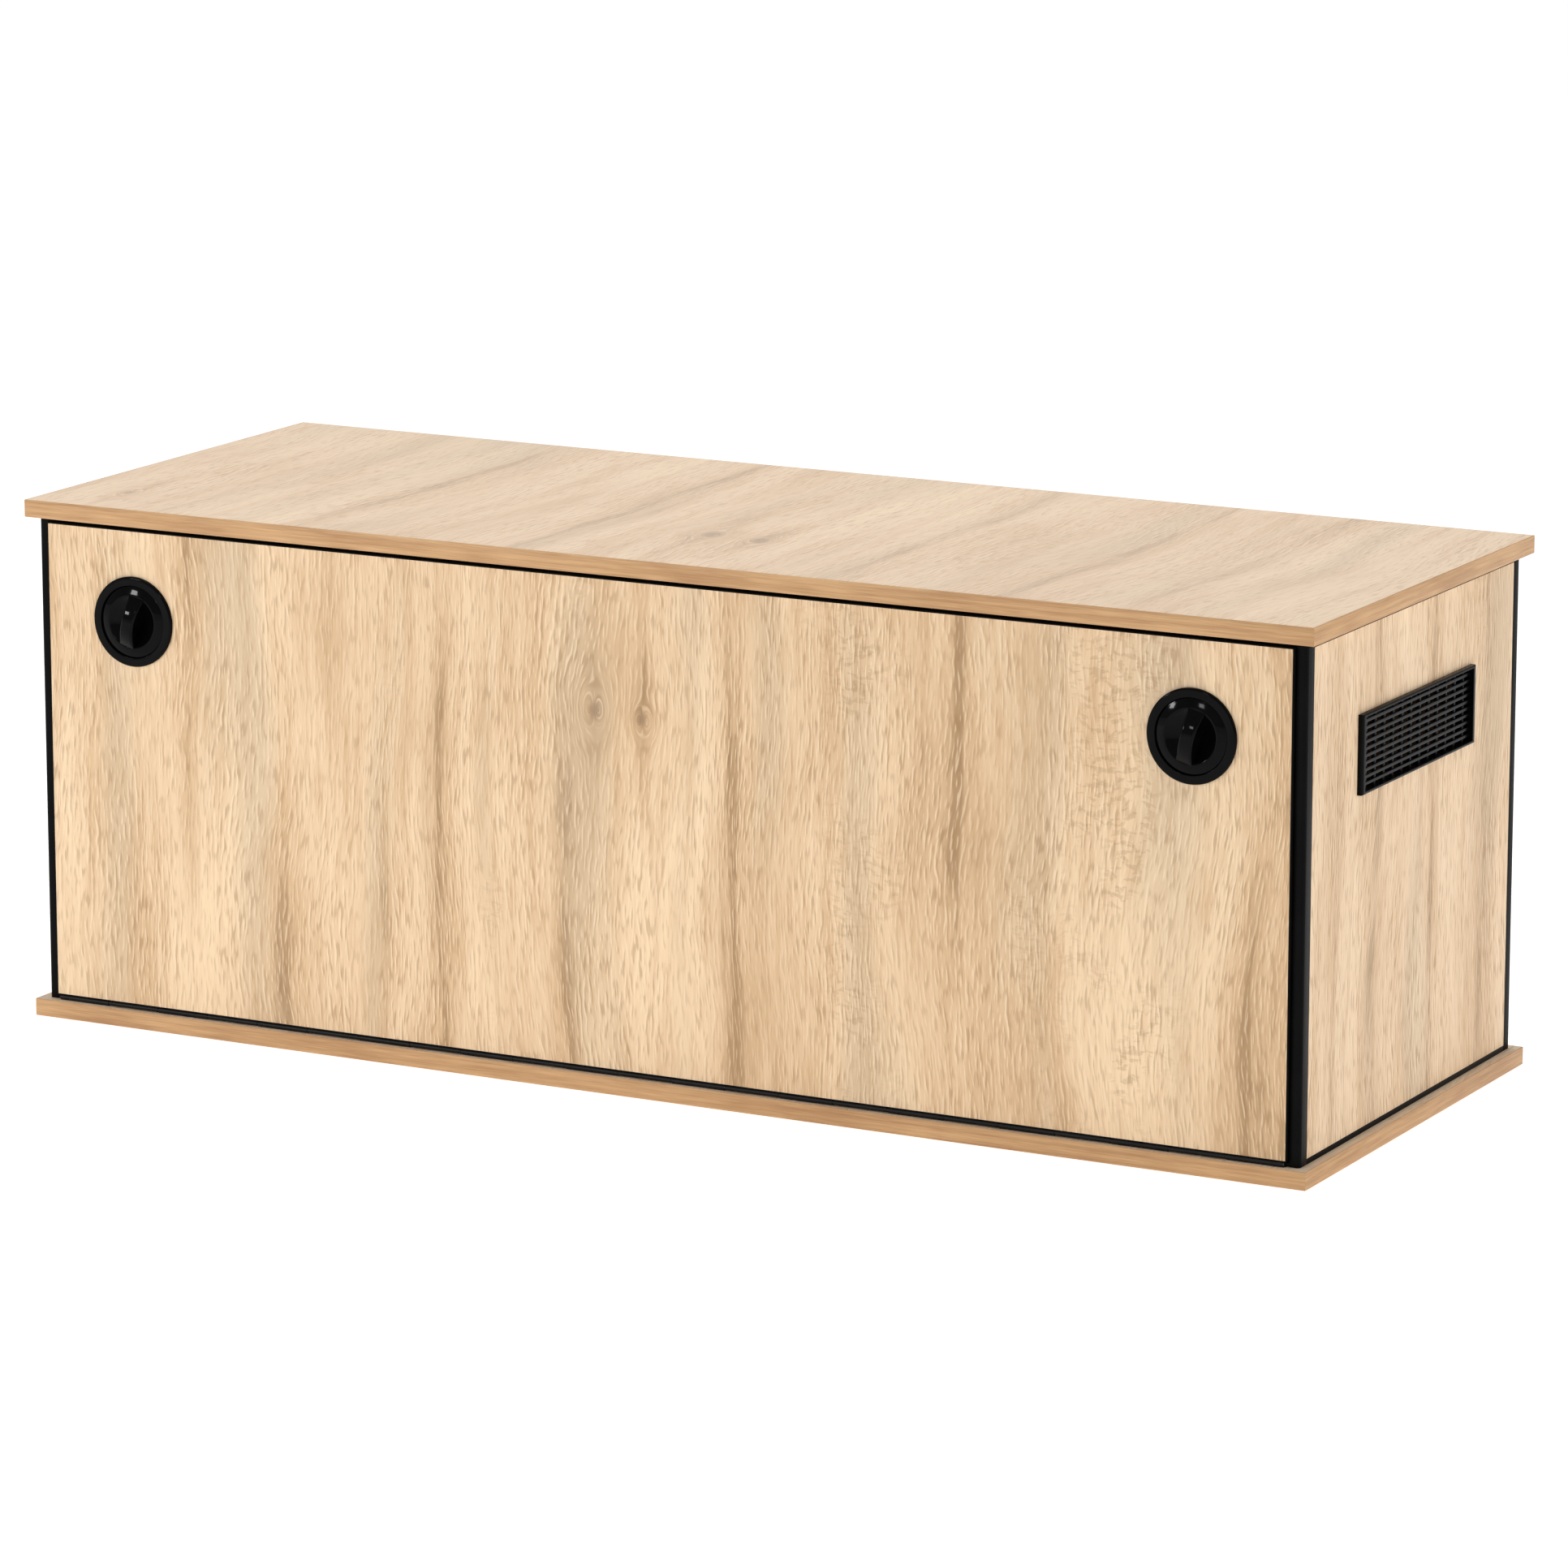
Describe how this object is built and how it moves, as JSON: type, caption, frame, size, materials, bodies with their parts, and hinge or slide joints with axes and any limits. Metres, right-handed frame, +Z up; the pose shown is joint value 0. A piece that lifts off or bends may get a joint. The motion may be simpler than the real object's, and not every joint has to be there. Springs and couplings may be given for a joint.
{
  "type": "media cabinet",
  "caption": "Low media cabinet with pale oak boards, a black corner frame, side vent grilles and a drop flap held by quarter-turn latches.",
  "frame": {"origin": "middle of the whole outline, latch grips included, on the surface that the cabinet stands on", "axes": "+X to the cabinet's right seen from the front, +Y from the front to the back, +Z up"},
  "size_m": [1.2, 0.4564, 0.453],
  "materials": {
    "oak_board": "pale oak decor with a fine vertical grain, satin",
    "oak_edging": "darker oak decor edging, grain along the edge, satin",
    "black_frame": "satin black powder coat",
    "black_edging": "matt black edging strip",
    "black_steel": "black coated steel",
    "gloss_black": "polished black moulding",
    "satin_black": "satin black moulding",
    "rubber_black": "matt soft stop",
    "bright_steel": "zinc plated"
  },
  "bodies": {
    "carcass": {"top_slab": "oak_board", "top_slab_edging": "oak_edging", "bottom_slab": "oak_board", "bottom_slab_edging": "oak_edging", "post_front_left": "black_frame", "post_front_right": "black_frame", "post_rear_left": "black_frame", "post_rear_right": "black_frame", "rail_left_bottom": "black_frame", "rail_left_top": "black_frame", "rail_right_bottom": "black_frame", "rail_right_top": "black_frame", "rail_rear_bottom": "black_frame", "rail_rear_top": "black_frame", "sill_bar": "black_frame", "head_bar": "black_frame", "side_panel_left": "oak_board", "side_panel_right": "oak_board", "back_panel": "oak_board", "cable_port_ring": "satin_black", "vent_grille_left": "satin_black", "vent_grille_right": "satin_black", "cam_lock_discs": "bright_steel", "cam_lock_dowels": "bright_steel", "flap_bumpers": "rubber_black", "keeper_left": "black_steel", "keeper_right": "black_steel", "keeper_screws": "bright_steel", "hinge_leaf_sill": "black_steel", "hinge_pin": "bright_steel", "hinge_screws_sill": "bright_steel"},
    "flap": {"flap_panel": "oak_board", "flap_edging": "black_edging", "hinge_leaf_flap": "black_steel", "hinge_screws_flap": "bright_steel", "latch_housing_left": "gloss_black", "latch_housing_right": "gloss_black", "latch_nut_left": "satin_black", "latch_nut_right": "satin_black"},
    "latch_left": {"latch_dish_left": "gloss_black", "latch_cam_left": "bright_steel", "cam_screw_left": "bright_steel"},
    "latch_right": {"latch_dish_right": "gloss_black", "latch_cam_right": "bright_steel", "cam_screw_right": "bright_steel"}
  },
  "joints": [
    {"name": "flap_hinge", "type": "hinge", "parent": "carcass", "child": "flap", "pos_m": [0, -0.21525, 0.0176], "axis": [1, 0, 0], "range_deg": [0, 90]},
    {"name": "latch_left_turn", "type": "hinge", "parent": "flap", "child": "latch_left", "pos_m": [-0.4945, -0.21625, 0.3558], "axis": [0, 1, 0], "range_deg": [0, 90]},
    {"name": "latch_right_turn", "type": "hinge", "parent": "flap", "child": "latch_right", "pos_m": [0.4945, -0.21625, 0.3558], "axis": [0, -1, 0], "range_deg": [0, 90]}
  ]
}
